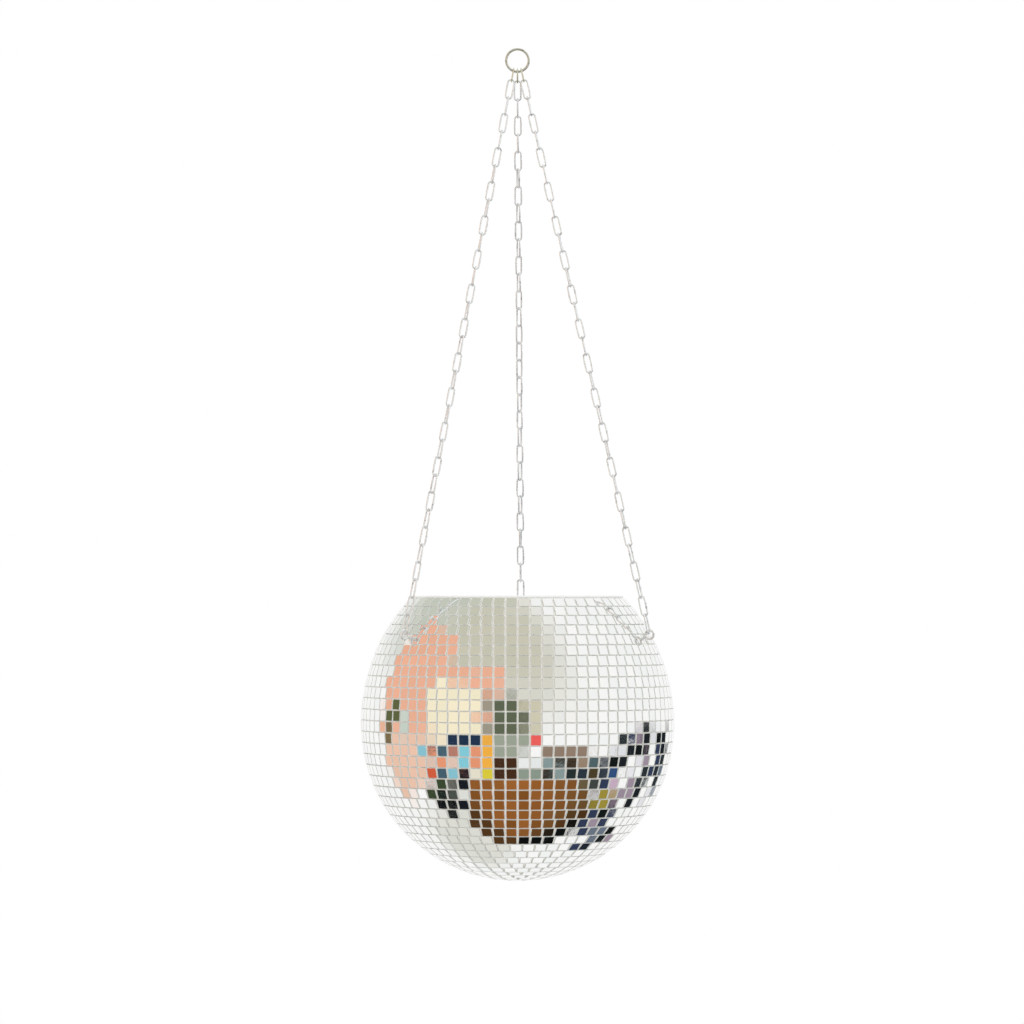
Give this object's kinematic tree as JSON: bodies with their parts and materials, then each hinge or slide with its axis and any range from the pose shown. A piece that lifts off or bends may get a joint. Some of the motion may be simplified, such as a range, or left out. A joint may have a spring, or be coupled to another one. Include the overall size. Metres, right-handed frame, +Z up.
{
  "type": "mirror ball planter",
  "caption": "Mirror-tiled round hanging planter with an open mouth, hung by fine link chains from a small wire ring.",
  "frame": {"origin": "hanging point: inside of the top of the hanging ring, where a hook bears", "axes": "+Z up along the hanging line and the ball's axis, -Y towards the front, between the two front chains"},
  "size_m": [0.2002, 0.2002, 0.5315],
  "materials": {
    "mirror_glass": "polished silvered glass tiles",
    "adhesive": "pale pearly adhesive showing in the gaps",
    "shell_plastic": "satin white moulded plastic",
    "rim_plastic": "satin white moulded trim",
    "chain_wire": "bright nickel-plated wire",
    "top_link_wire": "worn nickel over brass",
    "ring_wire": "bright nickel-plated wire",
    "eye_wire": "bright nickel-plated",
    "zinc_fixings": "zinc plated"
  },
  "bodies": {
    "ring": {"hanging_ring": "ring_wire"},
    "top_links": {"left_top_link": "top_link_wire", "right_top_link": "top_link_wire", "back_top_link": "top_link_wire"},
    "left_chain": {"left_chain": "chain_wire"},
    "right_chain": {"right_chain": "chain_wire"},
    "back_chain": {"back_chain": "chain_wire"},
    "ball": {"upper_shell": "shell_plastic", "lower_shell": "shell_plastic", "upper_adhesive_coat": "adhesive", "lower_adhesive_coat": "adhesive", "rim_band": "rim_plastic", "left_screw_eye": "eye_wire", "right_screw_eye": "eye_wire", "back_screw_eye": "eye_wire", "eye_washers": "zinc_fixings", "eye_nuts": "zinc_fixings", "mirror_bottom_tile": "mirror_glass", "mirror_row_01": "mirror_glass", "mirror_row_02": "mirror_glass", "mirror_row_03": "mirror_glass", "mirror_row_04": "mirror_glass", "mirror_row_05": "mirror_glass", "mirror_row_06": "mirror_glass", "mirror_row_07": "mirror_glass", "mirror_row_08": "mirror_glass", "mirror_row_09": "mirror_glass", "mirror_row_10": "mirror_glass", "mirror_row_11": "mirror_glass", "mirror_row_12": "mirror_glass", "mirror_row_13": "mirror_glass", "mirror_row_14": "mirror_glass", "mirror_row_15": "mirror_glass", "mirror_row_16": "mirror_glass", "mirror_row_17": "mirror_glass", "mirror_row_18": "mirror_glass", "mirror_row_19": "mirror_glass", "mirror_row_20": "mirror_glass", "mirror_row_21": "mirror_glass", "mirror_row_22": "mirror_glass", "mirror_row_23": "mirror_glass", "mirror_row_24": "mirror_glass", "mirror_row_25": "mirror_glass", "mirror_row_26": "mirror_glass", "mirror_row_27": "mirror_glass", "mirror_row_28": "mirror_glass", "mirror_row_29": "mirror_glass", "mirror_row_30": "mirror_glass", "mirror_row_31": "mirror_glass", "mirror_row_32": "mirror_glass", "mirror_row_33": "mirror_glass", "mirror_row_34": "mirror_glass"}
  },
  "joints": [
    {"name": "chain_swing", "type": "hinge", "parent": "ring", "child": "top_links", "pos_m": [0, 0, -0.01328], "axis": [1, 0, 0], "range_deg": [-30, 30]},
    {"name": "ball_turn", "type": "hinge", "parent": "top_links", "child": "ball", "pos_m": [0, 0, -0.4299], "axis": [0, 0, 1], "range_deg": [-20, 20]},
    {"name": "left_chain_turn", "type": "hinge", "parent": "top_links", "child": "left_chain", "pos_m": [-0.00381, -0.00102, -0.01951], "axis": [0, 0, 1], "range_deg": [-21, 21]},
    {"name": "right_chain_turn", "type": "hinge", "parent": "top_links", "child": "right_chain", "pos_m": [0.00403, -0.00066, -0.01951], "axis": [0, 0, 1], "range_deg": [-21.1, 21.1]},
    {"name": "back_chain_turn", "type": "hinge", "parent": "top_links", "child": "back_chain", "pos_m": [0.00004, 0.00162, -0.01999], "axis": [0, 0, 1], "range_deg": [-20.5, 20.5]}
  ],
  "couplings": [
    {"joint": "left_chain_turn", "follows": "ball_turn", "ratio": 1.0415},
    {"joint": "right_chain_turn", "follows": "ball_turn", "ratio": 1.0457},
    {"joint": "back_chain_turn", "follows": "ball_turn", "ratio": 1.0182}
  ]
}
